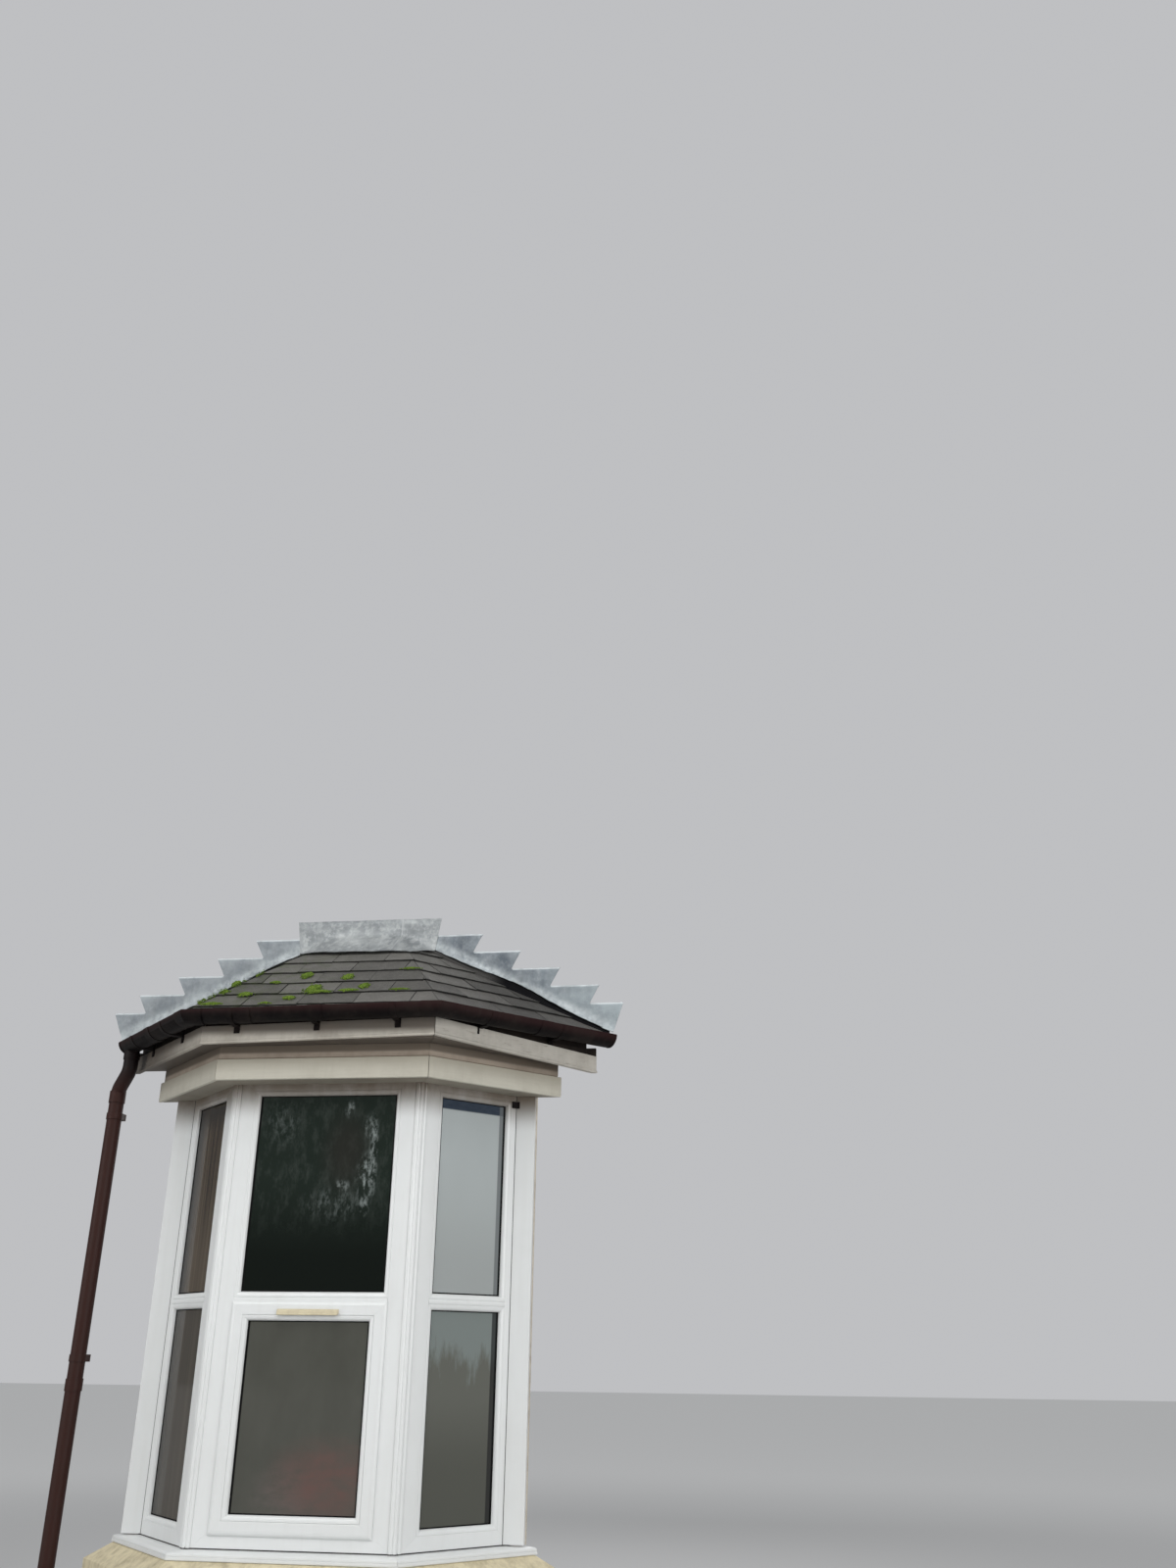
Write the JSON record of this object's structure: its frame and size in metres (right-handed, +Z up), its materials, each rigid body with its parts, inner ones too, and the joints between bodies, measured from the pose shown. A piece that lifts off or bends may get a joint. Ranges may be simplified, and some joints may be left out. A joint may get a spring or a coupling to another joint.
{
  "type": "bay window",
  "caption": "Canted bay window on a brick base, with white plastic frames, a hipped slate roof, lead flashings and brown gutter.",
  "frame": {"origin": "middle of the plan box, on the ground", "axes": "+X to the right along the wall as seen from the street, -Y out of the wall to the street, +Z up"},
  "size_m": [2.5264, 0.7468, 3.485],
  "materials": {
    "brick": "fired clay bricks in lime mortar",
    "sill_stone": "sand-coloured masonry paint",
    "white_plastic": "satin",
    "vent_plastic": "satin",
    "black_plastic": "matt",
    "painted_wood": "weathered white paint",
    "weathered_wood": "worn grey paint",
    "raw_timber": "sawn",
    "ceiling_board": "painted plaster",
    "glass": "clear",
    "slate": "split slate",
    "lead": "weathered lead sheet",
    "brown_plastic": "satin"
  },
  "bodies": {
    "root": {"base_wall_front": "brick", "base_wall_left": "brick", "base_wall_right": "brick", "stone_sill_front": "sill_stone", "stone_sill_left": "sill_stone", "stone_sill_right": "sill_stone", "frame_sill": "white_plastic", "frame_front": "white_plastic", "frame_left": "white_plastic", "frame_right": "white_plastic", "sash_front": "white_plastic", "glass_front_upper": "glass", "glass_front_sash": "glass", "glass_left": "glass", "glass_right": "glass", "corner_post_left": "white_plastic", "corner_post_right": "white_plastic", "wall_trim_left": "white_plastic", "wall_trim_right": "white_plastic", "packing_studs": "raw_timber", "trickle_vent": "vent_plastic", "black_clip": "black_plastic", "window_board": "white_plastic", "ceiling": "ceiling_board", "head_beam": "raw_timber", "frieze_soffit": "painted_wood", "frieze_front": "painted_wood", "frieze_left": "painted_wood", "frieze_right": "painted_wood", "bed_board": "weathered_wood", "eaves_soffit": "weathered_wood", "fascia_front": "painted_wood", "fascia_left": "painted_wood", "fascia_right": "painted_wood", "rafters": "raw_timber", "wall_ledger": "raw_timber", "slates_front": "slate", "slates_left": "slate", "slates_right": "slate", "step_flashings": "lead", "apron_flashing": "lead", "gutter": "brown_plastic", "gutter_brackets": "brown_plastic", "downpipe": "brown_plastic", "pipe_clips": "brown_plastic"}
  },
  "joints": []
}
